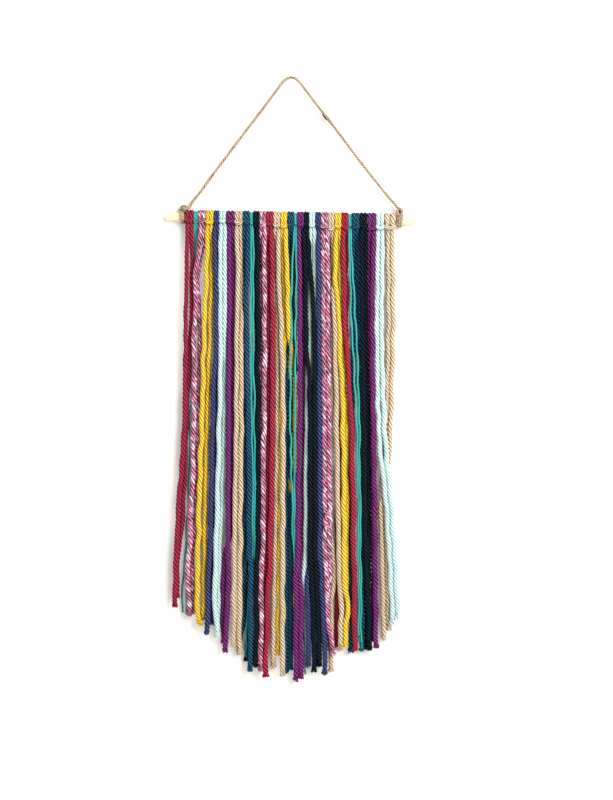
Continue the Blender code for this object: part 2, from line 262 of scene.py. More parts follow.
# The plied yarns
# Soft acrylic yarn of four plies, twisted to the right going down, in ten plain colours. Each
# is one length, folded in half: its bight comes over the dowel to the front as two wraps and a
# bar, and both ends come from under the dowel, pass behind the bar and hang to a raw cut.
ROW_START_X = -129.5
ROOT_SPREAD_MOST = 2.4
NECK_Y = -5.6
NECK_SHARE = 0.94
ROOT_DEPTH_SHARE = 0.4
LAYER_Y = (-8.4, -2.2, 3.4)
LAYER_SWAP = (360.0, 480.0)
NECK_END = 38.0
SQUASH = 0.88
STATION_STEP = 14.0
FIRST_STATION = 18.0
DRIFT_HEIGHTS = (120.0, 240.0, 360.0)
FOOT_SWELL = 0.13
SWELL = (60.0, 430.0)
SETTLE_ROUNDS = 60
SETTLE_NEIGHBOURS = 5
SETTLED_WITHIN = 0.01
WAVE_SEED = 31
WAVE_LENGTHS = (30, 95)
WAVE_SHARES = (0.3, 1.0)
WAVE_SIDEWAYS = 0.7
WAVE_DEPTH = 0.25
THICK_YARN = 2.0
YARN_RADIUS = {
    "burgundy": 2.9, "crimson": 3.0, "yellow": 3.05, "navy": 3.0, "aqua": 3.0, "purple": 3.0,
    "beige": 2.95, "tan": 3.15, "petrol": 3.1, "black": 3.0, "pink": 3.0, "turquoise": 1.3,
}

# One row for each yarn, from the left: its colour, the width of its knot and how far below the
# dowel's axis its bar lies, then its left and right strand. A strand's columns are how far it
# has drifted sideways from the middle of its knot at 120, 240 and 360 mm below the dowel and at
# its cut end, how far below the dowel it is cut, and its layer at the top and at the foot.
YARNS = (
    ("burgundy", 10.5, 5.3, (-4, -5.5, -13.5, -17.5, 472, 0, 0), (2, -3, -8, -15, 462, 1, 1)),
    ("turquoise", 5.5, 7.0, (-4, -7, -10.5, -17.5, 480, 2, 2), (-0.5, -5, -7.5, -12.5, 482, 2, 2)),
    ("pink", 9, 5.5, (-8.5, -9.5, -13, -15.5, 483, 0, 0), (-2.5, -4.5, -7.5, -11, 481, 1, 1)),
    ("yellow", 10, 6.6, (-6, -9, -13, -12.5, 494, 0, 0), (0.5, -3.5, -6, -8.5, 489, 1, 1)),
    ("navy", 6.5, 6.0, (0, -4.5, -6.5, -11, 505, 0, 0), (2.5, -2, -4, -5.5, 494, 1, 1)),
    ("aqua", 8.5, 5.2, (-1.5, -3.5, -6.6, -5.5, 508, 0, 0), (2.5, 1.5, -2, -5, 501, 0, 1)),
    ("purple", 10.5, 5.2, (-2, -2, -3, -6.5, 527, 0, 0), (2.5, 2.5, 1.5, -9, 517, 1, 1)),
    ("beige", 10, 6.8, (-2, -2.5, -4.5, -6, 520, 0, 0), (3, 3, 2, 1, 528, 1, 0)),
    ("petrol", 8.5, 6.5, (-1, -0.6, -1.5, -9.2, 530, 1, 2), (0.3, 2.5, 5.8, 5, 550, 0, 0)),
    ("turquoise", 4, 7.0, (-0.8, -0.2, 2, -7, 533, 0, 1), (2.2, 3.6, 5, -3.5, 530, 0, 1)),
    ("black", 7.5, 7.0, (0.5, -1.5, -5, -11.5, 539, 2, 2), (2.5, 2.5, 1.5, 0, 545, 0, 0)),
    ("pink", 8, 9.4, (-2, -3, -4.5, -6, 538, 1, 1), (2.5, 2, -1, -2, 550, 0, 0)),
    ("crimson", 9, 7.5, (-1.5, -1, -3.5, -7.5, 544, 1, 1), (4, 3.5, 2, -4.5, 557, 0, 0)),
    ("beige", 8.5, 9.6, (0.5, 0.5, -1, -4.5, 547, 1, 1), (5, 8, 7.5, 7, 556, 0, 0)),
    ("yellow", 8.5, 10.0, (1, -3, -4.5, -6.5, 531, 1, 1), (6, 10.5, 11, 13, 500, 0, 2)),
    ("petrol", 8.5, 8.5, (0.5, -4.5, -4, -6, 554, 2, 2), (3.5, 0.5, 1.5, 1, 550, 2, 2)),
    ("turquoise", 3.5, 6.5, (-5.5, -6.5, -3, 1.5, 532, 0, 1), (0, -0.5, -1.5, 11.5, 555, 0, 2)),
    ("purple", 8.5, 7.5, (-0.6, -1, -3.5, -5, 562, 0, 0), (3, 2, 1, 0, 559, 2, 0)),
    ("black", 6, 8.0, (-1, 5, 6, 9.5, 551, 0, 0), (9, 10.5, 11.5, 15, 544, 0, 0)),
    ("aqua", 7.5, 8.4, (-2.5, -6, -7.5, -6, 548, 1, 1), (3.5, 6, 7.5, 8.5, 538, 1, 1)),
    ("navy", 7, 8.2, (-2, -6, -10, -11.5, 544, 2, 0), (2, 2, 3, 8, 554, 0, 0)),
    ("pink", 8.5, 10.6, (-1.5, 0.5, 2, 9.5, 530, 0, 0), (4.2, 4, 2.4, 2.6, 526, 0, 1)),
    ("beige", 8, 12.4, (1.5, 0, -1.4, -0.4, 552, 2, 1), (4.5, 6.5, 8.5, 13.5, 525, 1, 0)),
    ("yellow", 8.5, 9.2, (0, 6, 7.5, 7, 520, 0, 0), (2.5, 9.5, 10.5, 10.5, 499, 1, 1)),
    ("crimson", 8.5, 10.2, (-0.5, 7.5, 10, 12, 525, 0, 0), (2, -3.5, -8.5, -9.5, 523, 2, 2)),
    ("turquoise", 4, 7.5, (1.5, 7.5, 10.4, 10.8, 514, 0, 0), (6.5, 11.1, 12.3, 13.5, 522, 0, 0)),
    ("petrol", 9.5, 9.5, (-2.5, -3.5, -6.5, -6.5, 528, 2, 1), (2, 7, 9, 10, 526, 2, 1)),
    ("black", 9.5, 9.0, (-2, 0.5, 1.5, 7.5, 524, 0, 0), (3, 5.5, 7.5, 3, 525, 1, 1)),
    ("purple", 10.5, 10.8, (-2.5, 0, 1.5, 2.5, 514, 1, 1), (1, 2, 4, 5, 522, 0, 0)),
    ("aqua", 10, 9.8, (-4, -2.5, 9, 16, 493, 0, 0), (1.5, 4.5, 13, 19.8, 487, 0, 0)),
    ("tan", 14.5, 9.6, (-1.5, -5.5, -10, -7.5, 513, 1, 1), (3.5, 1, -4.5, -1.5, 501, 1, 1)),
)

# Strands that bend between those heights: how far below the dowel, and the drift there.
# The first number of a key is the yarn's, and -1 is its left strand.
BENDS = {
    (1, -1): ((430, -16.5),), (1, 1): ((45, 3.2), (430, -15)),
    (3, -1): ((22, -2.0), (44, -3.8), (62, -6.2), (85, -7.3), (430, -16.5)),
    (3, 1): ((62, -3.9), (90, -5.4), (430, -11.5)),
    (4, -1): ((465, -15),), (4, 1): ((465, -7.5),),
    (6, -1): ((430, -8.6), (468, -9.5)), (6, 1): ((50, 3.4), (430, -5)),
    (7, -1): ((430, -2.2), (465, -2.6)), (7, 1): ((430, -7.8), (465, -9.8)),
    (8, -1): ((30, -2.2), (55, -0.8), (80, -0.6)), (9, -1): ((482, -2.8),),
    (10, -1): ((40, -0.4),), (10, 1): ((40, 2.7),),
    (14, -1): ((40, 0.6),), (14, 1): ((60, 2),),
    (15, -1): ((50, -1.4),), (15, 1): ((40, 3),),
    (17, -1): ((28, -1.8), (45, -3.4), (75, -4.8)), (17, 1): ((45, 1), (75, 1.3)),
    (18, 1): ((430, 0.2),),
    (22, -1): ((60, -2.2), (430, 0.5), (480, 3)), (22, 1): ((50, 3.6),),
    (24, -1): ((40, -3.2), (78, -2.8), (430, 6.5), (476, 11.5)), (24, 1): ((50, 1.6),),
}

# Strands that change layer somewhere else than above the hem: where the change begins and ends.
SWAPS = {
    (6, 1): (110, 200), (8, 1): (80, 150), (15, 1): (120, 190),
    (23, -1): (70, 130), (23, 1): (60, 120),
}

# The knot's own route, and how finely a yarn is drawn. Turns round the dowel are in degrees, from
# its front by its underside to its back and its top.
WRAP_THICKNESS = 2.2
WRAP_ROUNDEST = 0.95
WRAP_WIDEST = 1.2
WRAP_OVERLAP = 0.35
WRAP_EASE = 0.1
WRAP_CLEARANCE = 0.12
WRAP_TURNS = (75, 110, 145, 180, 215, 250, 285, 320, 352)
WRAP_WIDENS = (75, 200)
ROOT_TUCK = 0.98
TAIL_SHARE = 0.9
TAIL_Y = -5.0
THIN_TAIL_FORWARD = 0.4
BAR_FRONT_Y = -9.9
THIN_BAR_BACK = 2.0
BAR_THICKNESS = 1.8
BAR_HALF_WIDTH = 2.3
BELOW_BAR = 5.0
STRAND_RING_STEP = 1.8
KNOT_RING_STEP = 1.1
PLY_PITCH = 25.0
FOOT_PITCH_SHARE = 0.8
PLIES = 4
POINTS_PER_PLY = 4
VALLEY_DEPTH = 0.32
VALLEY_POWER = 1.8
UNEVEN_THICKNESS = 0.09
UNEVEN_LENGTH = 34.0
UNEVEN_TWIST = 0.14
UNEVEN_TWIST_LENGTH = 80.0
WANDER_WAVES = 3
WANDER_LENGTHS = (0.6, 1.7)
WANDER_MOST = 2.2
YARNS_APART = 2000.0
SEED_STEP = 101

# The cut ends: how far the plies part, and the loose fibres that stand out of them.
FRAY_LENGTH = 7.0
FRAY_OVERLAP = 0.6
PLY_SIDES = 8
PLY_LEAN = (0.05, 0.6)
PLY_STRETCH = (-1.4, 0.5)
PLY_BEND = 0.5
PLY_SHARE = 0.47
PLY_SWELL = 0.07
CUT_FIBRES = 22
CUT_FIBRE_REACH = 2.2
CUT_FIBRE_TUCK = 0.8
CUT_FIBRE_STEPS = 3
CUT_FIBRE_SIDES = 5


def smooth_step(value, low, high):
    """How far a value has gone from low to high, from 0 to 1, slow at both ends."""
    share = min(1.0, max(0.0, (value - low) / (high - low)))
    return share * share * (3.0 - 2.0 * share)


def curve_between(start, rise_at_start, end, rise_at_end, t):
    """A smooth curve from start to end, read at t from 0 to 1, with the rises at both."""
    return (
        start * (2 * t**3 - 3 * t**2 + 1) + rise_at_start * (t**3 - 2 * t**2 + t)
        + end * (3 * t**2 - 2 * t**3) + rise_at_end * (t**3 - t**2)
    )


def through_points(points, value):
    """Read a smooth curve through (position, height) points, with no overshoot."""
    for index in range(len(points) - 1):
        if value <= points[index + 1][0] or index == len(points) - 2:
            break
    (start, low), (end, high) = points[index], points[index + 1]
    run = end - start

    def slope_at(spot):
        if spot == 0 or spot == len(points) - 1:
            return 0.0
        before = (points[spot][1] - points[spot - 1][1]) / (points[spot][0] - points[spot - 1][0])
        after = (points[spot + 1][1] - points[spot][1]) / (points[spot + 1][0] - points[spot][0])
        if before * after <= 0.0:
            return 0.0
        return 2.0 * before * after / (before + after)

    share = min(1.0, max(0.0, (value - start) / run))
    return curve_between(low, slope_at(index) * run, high, slope_at(index + 1) * run, share)


def lay_out_yarns():
    """Give each yarn its place along the dowel, and each strand its root, its size and its
    waves: two sideways and two in depth."""
    chance = random.Random(WAVE_SEED)
    yarns = []
    edge = ROW_START_X
    for number, (colour, width, bar_drop, left, right) in enumerate(YARNS, start=1):
        middle = edge + width / 2
        edge += width
        radius = YARN_RADIUS[colour]
        spread_out = min(width / 4, ROOT_SPREAD_MOST)
        strands = []
        for side, row in ((-1, left), (1, right)):
            waves = [
                (chance.uniform(*WAVE_LENGTHS), chance.uniform(0, math.tau), chance.uniform(*WAVE_SHARES))
                for _ in range(4)
            ]
            strands.append({
                "middle": middle, "root_x": middle + side * spread_out, "radius": radius,
                "neck": radius * NECK_SHARE if radius > THICK_YARN else radius,
                "drifts": sorted([*zip((*DRIFT_HEIGHTS, row[4]), row[:4]), *BENDS.get((number, side), ())]),
                "cut": row[4], "layers": row[5:], "swap": SWAPS.get((number, side), LAYER_SWAP),
                "waves": waves, "path": [],
            })
        yarns.append({
            "number": number, "name": f"yarn_{number:02d}_{colour}", "colour": colour, "middle": middle,
            "width": width, "bar_drop": bar_drop, "radius": radius, "strands": strands,
        })
    return yarns


def wished_place(strand, drop):
    """Sideways place, depth and radius that a strand has if nothing is in its way."""
    points = [(FIRST_STATION, strand["root_x"])]
    points += [(height, strand["middle"] + drift) for height, drift in strand["drifts"]]
    x = through_points(points, drop)
    loose = smooth_step(drop, FIRST_STATION, NECK_END * 2)
    wander = [share * math.sin(drop / length * math.tau + phase) for length, phase, share in strand["waves"]]
    x += WAVE_SIDEWAYS * loose * (wander[0] + wander[1])
    top_layer, foot_layer = strand["layers"]
    swap = smooth_step(drop, *strand["swap"])
    layer_y = LAYER_Y[top_layer] + (LAYER_Y[foot_layer] - LAYER_Y[top_layer]) * swap
    open_out = smooth_step(drop, FIRST_STATION - 2, NECK_END)
    apart = ROOT_DEPTH_SHARE + (1 - ROOT_DEPTH_SHARE) * open_out
    y = NECK_Y + (layer_y - NECK_Y) * apart + WAVE_DEPTH * loose * (wander[2] + wander[3])
    radius = strand["neck"] + (strand["radius"] - strand["neck"]) * open_out
    return x, y, radius * (1 + FOOT_SWELL * smooth_step(drop, *SWELL))


def settle_strands(strands, drop):
    """Push neighbours apart sideways where their wished places would overlap."""
    wished = [wished_place(strand, drop) for strand in strands]
    order = sorted(range(len(strands)), key=lambda index: wished[index][0])
    places = [wished[index][0] for index in order]
    for _ in range(SETTLE_ROUNDS):
        moved = False
        for first in range(len(order)):
            for second in range(first + 1, min(first + 1 + SETTLE_NEIGHBOURS, len(order))):
                _, y1, r1 = wished[order[first]]
                _, y2, r2 = wished[order[second]]
                reach = (r1 + r2) * SQUASH
                depth = abs(y1 - y2)
                if depth >= reach:
                    continue
                lack = math.sqrt(reach**2 - depth**2) - (places[second] - places[first])
                if lack > SETTLED_WITHIN:
                    places[first] -= lack / 2
                    places[second] += lack / 2
                    moved = True
        if not moved:
            break
    return {index: (place, *wished[index][1:]) for place, index in zip(places, order)}


def hang_strands(yarns):
    """List each strand's points, as x, y, z and radius, from below its knot to its cut end."""
    strands = [strand for yarn in yarns for strand in yarn["strands"]]
    deepest = max(strand["cut"] for strand in strands)
    drop = FIRST_STATION
    while drop < deepest:
        settled = settle_strands(strands, drop)
        for index, strand in enumerate(strands):
            x, y, radius = settled[index]
            if drop < strand["cut"] - STATION_STEP / 2:
                strand["path"].append((x, y, DOWEL_Z - drop, radius))
        drop += STATION_STEP
    for index, strand in enumerate(strands):
        x, y, radius = settle_strands(strands, strand["cut"])[index]
        strand["path"].append((x, y, DOWEL_Z - strand["cut"], radius))


def bar_front(yarn):
    """Depth of the bar at a knot's front, which lies further back on a thin yarn."""
    return BAR_FRONT_Y if yarn["radius"] > THICK_YARN else BAR_FRONT_Y + THIN_BAR_BACK


def knot_side(yarn, strand, side):
    """Control points of one half of a knot, from the strand's top to the middle of the bar.
    Each is x, y, z, the outward direction's y and z, half the width and half the thickness."""
    width, radius, middle, bar = (yarn[key] for key in ("width", "radius", "middle", "bar_drop"))
    thickness = min(WRAP_THICKNESS, radius * WRAP_ROUNDEST)
    half_width = min(width / 4 + WRAP_OVERLAP, radius * WRAP_WIDEST)
    lobe_x = max(width / 2 - half_width + WRAP_EASE, width / 4 - WRAP_EASE) * side
    reach = DOWEL_RADIUS + WRAP_CLEARANCE + thickness
    level = axis_z(middle)
    neck = strand["neck"]
    root = strand["root_x"] - middle
    under = root * ROOT_TUCK
    tail = neck * TAIL_SHARE
    tail_y = TAIL_Y if radius > THICK_YARN else TAIL_Y - THIN_TAIL_FORWARD
    points = [
        (root, tail_y, -bar - 1.2, 1.0, 0.0, tail, thickness * 0.9),
        (under, tail_y + 0.5, -max(bar * 0.72, 5.0), 0.8, -0.6, tail, thickness * 0.85),
    ]
    for degrees in WRAP_TURNS:
        turn = math.radians(degrees)
        share = smooth_step(degrees, *WRAP_WIDENS)
        points.append((
            under + (lobe_x - under) * share, -reach * math.cos(turn), -reach * math.sin(turn),
            -math.cos(turn), -math.sin(turn), neck + (half_width - neck) * share, thickness,
        ))
    front = bar_front(yarn)
    half_bar = min(BAR_HALF_WIDTH, radius)
    corner = max(width / 2 - half_bar * 0.75, width / 5) * side
    waist_z = -max(bar * 0.55, bar - 4.5)
    points += [
        (lobe_x * 0.9, -reach - 0.1, waist_z, -1.0, 0.0, half_width * 0.86, thickness * 0.9),
        (corner, front + 0.5, -bar + 0.9, -1.0, 0.0, half_bar * 0.95, BAR_THICKNESS),
        (corner * 0.55, front, -bar - 0.1, -1.0, 0.0, half_bar, BAR_THICKNESS),
    ]
    return [(middle + x, y, level + z, 0.0, *rest) for x, y, z, *rest in points]


def yarn_route(yarn):
    """The whole yarn as one line: up the left strand, round the knot and down the right one."""
    left, right = yarn["strands"]
    bar_z = axis_z(yarn["middle"]) - yarn["bar_drop"]
    middle = [(
        yarn["middle"], bar_front(yarn) + 0.05, bar_z - 0.2,
        0.0, -1.0, 0.0, min(BAR_HALF_WIDTH, yarn["radius"]), BAR_THICKNESS,
    )]

    def hanging(strand):
        path = [stop for stop in strand["path"] if stop[2] < bar_z - BELOW_BAR]
        return [(x, y, z, 0.0, 1.0, 0.0, radius, radius) for x, y, z, radius in path]

    return (
        hanging(left)[::-1] + knot_side(yarn, left, -1) + middle
        + knot_side(yarn, right, 1)[::-1] + hanging(right)
    )


def smooth_route(route, strand_step=STRAND_RING_STEP, knot_step=KNOT_RING_STEP):
    """Read close points from a smooth curve through the route's points, which lie far apart
    along a strand and close together round a knot."""
    points = np.array(route, float)
    padded = np.vstack((2 * points[0] - points[1], points, 2 * points[-1] - points[-2]))
    fine = []
    for index in range(1, len(padded) - 2):
        before, here, there, after = padded[index - 1:index + 3]
        length = np.linalg.norm(there[:3] - here[:3])
        ring_step = strand_step if length > STATION_STEP / 2 else knot_step
        first, run, last = (
            max(np.linalg.norm(b[:3] - a[:3]), 1e-3) ** 0.5
            for a, b in ((before, here), (here, there), (there, after))
        )
        rise_here = (there - here) / run - (there - before) / (first + run) + (here - before) / first
        rise_there = (after - there) / last - (after - here) / (run + last) + (there - here) / run
        count = max(1, round(length / ring_step))
        for step in range(count):
            fine.append(curve_between(here, rise_here * run, there, rise_there * run, step / count))
    fine.append(padded[-2])
    return np.array(fine)


def unit(vectors):
    """The same directions, each of length one."""
    return vectors / np.maximum(np.linalg.norm(vectors, axis=-1, keepdims=True), 1e-9)


def length_along(line):
    """How far along a line each of its points lies."""
    return np.concatenate(([0.0], np.cumsum(np.linalg.norm(np.diff(line, axis=0), axis=1))))


def slow_wander(along, seed, length):
    """A smooth random number from about -1 to 1 for each place along a yarn."""
    chance = random.Random(seed)
    total = np.zeros(len(along))
    for _ in range(WANDER_WAVES):
        wave = length * chance.uniform(*WANDER_LENGTHS)
        total += np.sin(along * math.tau / wave + chance.uniform(0, math.tau))
    return total / WANDER_MOST


def plied_section(plies, points_per_ply, depth):
    """How far each point of a plied yarn's outline lies from its middle, from 0 to 1."""
    spots = np.arange(plies * points_per_ply) % points_per_ply / points_per_ply
    from_crest = np.abs(2 * spots - 1)
    return 1.0 - depth * from_crest**VALLEY_POWER


def twisted_tube(fine, outline, pitch, seed, along_start, keep=(0, 0)):
    """Rings of a twisted yarn that follows the fine route, with the frame that they use."""
    line = fine[:, :3]
    along = length_along(line)
    ahead = unit(np.gradient(line, axis=0))
    outward = fine[:, 3:6]
    outward = unit(outward - ahead * (outward * ahead).sum(axis=1, keepdims=True))
    across = np.cross(ahead, outward)
    uneven = 1.0 + UNEVEN_THICKNESS * slow_wander(along, seed, UNEVEN_LENGTH)
    wide, thick = fine[:, 6] * uneven, fine[:, 7] * uneven
    low = np.clip((DOWEL_Z - line[:, 2]) / SWELL[1], 0.0, 1.0)
    tightness = 1.0 / (1.0 - (1.0 - FOOT_PITCH_SHARE) * low)
    tightness = tightness + UNEVEN_TWIST * slow_wander(along, seed + 7, UNEVEN_TWIST_LENGTH)
    steps = np.concatenate(([0.0], np.diff(along) * (tightness[1:] + tightness[:-1]) / 2))
    twist = math.tau * np.cumsum(steps) / pitch
    angles = np.arange(len(outline)) * math.tau / len(outline)
    turned = angles[None, :] + twist[:, None]
    rings = line[:, None, :] + outline[None, :, None] * (
        (wide[:, None] * np.cos(turned))[..., None] * across[:, None, :]
        + (thick[:, None] * np.sin(turned))[..., None] * outward[:, None, :]
    )
    first, last = keep[0], len(fine) - keep[1]
    shape = {
        "line": line, "along": along, "ahead": ahead, "across": across, "outward": outward, "twist": twist,
    }
    return (rings[first:last], (along + along_start)[first:last]), shape


def round_ring(middle, reach, one, other, sides):
    """A round ring of points about a middle, across two directions."""
    turns = [math.tau * side / sides for side in range(sides)]
    return [middle + reach * (math.cos(turn) * one + math.sin(turn) * other) for turn in turns]


def loose_fibres(place, ahead, radius, count, seed):
    """The loose fibres of a cut end: short thin stems that spread from it."""
    chance = random.Random(seed)
    side = unit(np.cross(ahead, (0.3, 1.0, 0.2)))
    up = np.cross(side, ahead)
    stems = []
    for _ in range(count):
        turn, share = chance.uniform(0, math.tau), chance.random() ** 0.5
        out = math.cos(turn) * side + math.sin(turn) * up
        start = place + out * share * radius * 0.8 - ahead * CUT_FIBRE_TUCK
        reach = CUT_FIBRE_REACH * chance.uniform(0.4, 1.2)
        tip = start + ahead * (CUT_FIBRE_TUCK + reach) + out * share * CUT_FIBRE_REACH * 0.5
        thick = radius * chance.uniform(0.05, 0.1)
        rings = []
        for step in range(CUT_FIBRE_STEPS + 1):
            bow = out * 0.25 * math.sin(step / CUT_FIBRE_STEPS * math.pi)
            middle = start + (tip - start) * step / CUT_FIBRE_STEPS + bow
            rings.append(round_ring(middle, thick * (1.0 - 0.22 * step), side, up, CUT_FIBRE_SIDES))
        along = [
            7.0 * chance.random() + CUT_FIBRE_REACH * step / CUT_FIBRE_STEPS
            for step in range(CUT_FIBRE_STEPS + 1)
        ]
        stems.append((np.array(rings), along))
    return stems


def frayed_plies(shape, at_start, radius, plies, seed, along_start):
    """The last few millimetres of a cut end, where the plies part and their fibres open out."""
    chance = random.Random(seed)
    from_end = shape["along"] if at_start else shape["along"][-1] - shape["along"]
    spots = np.nonzero(from_end < FRAY_LENGTH)[0]
    if at_start:
        spots = spots[::-1]
    end = spots[-1]
    outwards = -shape["ahead"][end] if at_start else shape["ahead"][end]
    tubes = []
    for ply in range(plies):
        crest = (ply + 0.5) * math.tau / plies
        lean = chance.uniform(*PLY_LEAN)
        stretch = chance.uniform(*PLY_STRETCH)
        bend = chance.uniform(-PLY_BEND, PLY_BEND)
        rings = []
        for index, spot in enumerate([*spots, end]):
            share = min(1.0, index / (len(spots) - 1))
            opened = share**2
            turn = crest + shape["twist"][spot] + bend * opened
            side = math.cos(turn) * shape["across"][spot] + math.sin(turn) * shape["outward"][spot]
            aside = side * radius * (0.5 + lean * opened)
            middle = shape["line"][spot] + aside + outwards * stretch * opened
            thick = radius * (PLY_SHARE + PLY_SWELL * share)
            if index == len(spots):
                middle = middle + outwards * thick * 0.55
                thick *= 0.5
            along_ply = unit(outwards + side * lean * share)
            one = unit(np.cross(along_ply, side))
            rings.append(round_ring(middle, thick, one, np.cross(one, along_ply), PLY_SIDES))
        along = [along_start + ply * 3.0 + shape["along"][spot] for spot in [*spots, end]]
        tubes.append((np.array(rings), along))
    return tubes + loose_fibres(shape["line"][end], outwards, radius, CUT_FIBRES, seed)


def make_plied_yarn(yarn, plies=PLIES, depth=VALLEY_DEPTH, pitch=PLY_PITCH):
    """One yarn's mesh: its twisted length from cut to cut, and the parted plies at both cuts."""
    fine = smooth_route(yarn_route(yarn))
    outline = plied_section(plies, POINTS_PER_PLY, depth)
    along_start = yarn["number"] * YARNS_APART
    seed = yarn["number"] * SEED_STEP
    along = length_along(fine[:, :3])
    kept_back = FRAY_LENGTH * FRAY_OVERLAP
    at_left = int((along < kept_back).sum())
    at_right = int((along > along[-1] - kept_back).sum())
    tube, shape = twisted_tube(fine, outline, pitch, seed, along_start, (at_left, at_right))
    tubes = [tube]
    cut_radius = yarn["radius"] * (1 + FOOT_SWELL)
    for at_start in (True, False):
        tubes += frayed_plies(shape, at_start, cut_radius, plies, seed + at_start, along_start)
    return mesh_from_tubes(yarn["name"] + "_strands", tubes)


# The yarn's surface: bands across a ply from its crest (0) to the valley beside it (1), which place
# the painted highlight and the painted valley shade, how closely fibres and patches of dye follow
# each other, and how far the ambient-occlusion probe for painted shade in deep gaps reaches.
VALLEY_BAND = (0.42, 0.96)
CREST_BAND = (0.7, 0.0)
FIBRES_ROUND = 15.0
FIBRES_ALONG = 420.0
FIBRE_SCALE = 5.0
PATCHES_ALONG = 130.0
PLY_SHIFT = 3.7
PAINTED_SHADE_REACH = 7.0
PAINTED_SHADE_SAMPLES = 6
YARN_RELIEF = 0.3


def strand_place(tree):
    """Sockets for the share of the way round a strand and the metres along it."""
    apart = add_node(tree, "ShaderNodeSeparateXYZ")
    link(tree, (add_node(tree, "ShaderNodeUVMap", uv_map="strand").outputs[0], apart.inputs[0]))
    return apart.outputs[0], apart.outputs[1]


def make_fibre_group():
    """Shader group of a plied yarn's surface: painted shade between the plies and in deep gaps,
    a painted highlight on the crests, with fine fibres that lie along the yarn and slow uneven dyeing."""
    group = bpy.data.node_groups.new("plied_fibre", "ShaderNodeTree")
    for way, kind, names in (
        ("INPUT", "NodeSocketColor", ("Colour", "Highlight Colour", "Shade And Dye Colour")),
        ("INPUT", "NodeSocketFloat", ("Plies", "Turns Per Metre", "Depth", "Uneven")),
        ("OUTPUT", "NodeSocketColor", ("Colour",)), ("OUTPUT", "NodeSocketFloat", ("Height",)),
    ):
        for name in names:
            group.interface.new_socket(name, in_out=way, socket_type=kind)
    given = add_node(group, "NodeGroupInput").outputs
    result = add_node(group, "NodeGroupOutput").inputs
    around, along = strand_place(group)
    spot = times(group, around, given["Plies"])
    ply = maths(group, "FLOOR", spot)
    off_middle = maths(group, "ABSOLUTE", maths(group, "SUBTRACT", maths(group, "FRACT", spot), 0.5))
    across = times(group, off_middle, 2.0)
    valley = spread(group, across, *VALLEY_BAND)
    crest = spread(group, across, *CREST_BAND)
    turned = maths(group, "SUBTRACT", around, times(group, along, given["Turns Per Metre"]))
    fibre_place = combine(group, times(group, turned, FIBRES_ROUND), times(group, along, FIBRES_ALONG), ply)
    fibres = noise_of(group, fibre_place, FIBRE_SCALE, 3.0, 0.6)
    patch_place = combine(group, times(group, ply, PLY_SHIFT), times(group, along, PATCHES_ALONG), 0.0)
    patches = spread(group, noise_of(group, patch_place, 1.0), 0.3, 0.75)
    # Painted highlight: the ply crests are lightened towards the highlight colour, broken up by the fibres.
    painted_highlight = times(group, crest, spread(group, fibres, 0.3, 0.65, 0.15, 0.95))
    # Painted shade: an ambient-occlusion probe finds deep gaps between strands, knots and dowel, and there
    # the colour is darkened.
    shade_probe = add_node(group, "ShaderNodeAmbientOcclusion", samples=PAINTED_SHADE_SAMPLES)
    shade_probe.inputs["Distance"].default_value = PAINTED_SHADE_REACH * MM
    painted_nook_shade = spread(group, shade_probe.outputs["AO"], 0.1, 0.62, 0.9, 0.0)
    colour = mixed(group, painted_highlight, given["Colour"], given["Highlight Colour"])
    # Painted shade: after the uneven dye patches, the ply valleys and the deep gaps are darkened towards the
    # shade colour.
    for share in (times(group, patches, given["Uneven"]), times(group, valley, given["Depth"]), painted_nook_shade):
        colour = mixed(group, share, colour, given["Shade And Dye Colour"])
    height = maths(group, "SUBTRACT", fibres, times(group, valley, 0.5))
    link(group, (colour, result["Colour"]), (height, result["Height"]))
    return group


fibre_group = make_fibre_group()


def make_yarn_material(
    name, main, light, deep, roughness=0.9, sheen=0.0, plies=PLIES, pitch=PLY_PITCH, depth=1.0, uneven=0.3
):
    """A yarn's material: the fibre group with this yarn's colours, on a soft rough shader. The light
    colour is the painted highlight on the ply crests, the deep colour is the painted shade in the
    valleys and deep gaps and the tone of uneven dyeing, and depth sets how strong the painted valley
    shade is.
    """
    material, tree, shader = new_material(name, roughness, sheen)
    fibre = add_node(tree, "ShaderNodeGroup", node_tree=fibre_group)
    for socket, value in (
        ("Colour", linear(*main)), ("Highlight Colour", linear(*light)), ("Shade And Dye Colour", linear(*deep)),
        ("Plies", float(plies)), ("Turns Per Metre", 1 / (pitch * MM)), ("Depth", depth), ("Uneven", uneven),
    ):
        fibre.inputs[socket].default_value = value
    shader.inputs["Sheen Roughness"].default_value = 0.5
    link(tree, (fibre.outputs["Colour"], shader.inputs["Base Color"]))
    add_bump(tree, shader, fibre.outputs["Height"], 0.6, YARN_RELIEF)
    return material, tree, fibre


yarns = lay_out_yarns()
hang_strands(yarns)


def add_yarns(colour, material, *make):
    """Knot every yarn of one colour onto the dowel."""
    for yarn in yarns:
        if yarn["colour"] == colour:
            mesh = make_plied_yarn(yarn, *make)
            add_piece(yarn["name"] + "_strands", mesh, material, yarn["name"])


# Each colour as it looks on the sides of the plies, then the painted highlight on their crests,
# then the painted shade in the valleys and deep gaps, which the uneven dyeing also darkens towards.
PLAIN_COLOURS = {
    "burgundy": ((142, 26, 54), (216, 90, 122), (56, 1, 12)),
    "crimson": ((156, 26, 50), (228, 94, 122), (64, 2, 12)),
    "yellow": ((250, 206, 50), (255, 252, 124), (150, 92, 8)),
    "navy": ((38, 44, 94), (118, 128, 186), (5, 6, 30)),
    "aqua": ((214, 242, 240), (248, 255, 255), (118, 160, 160)),
    "purple": ((100, 28, 96), (182, 94, 172), (28, 0, 30)),
    "beige": ((228, 198, 160), (255, 250, 228), (98, 66, 42)),
    "tan": ((226, 202, 166), (252, 244, 222), (112, 84, 58)),
    "petrol": ((8, 54, 84), (82, 142, 174), (0, 8, 24)),
    "black": ((4, 9, 15), (56, 70, 86), (0, 0, 1)),
}

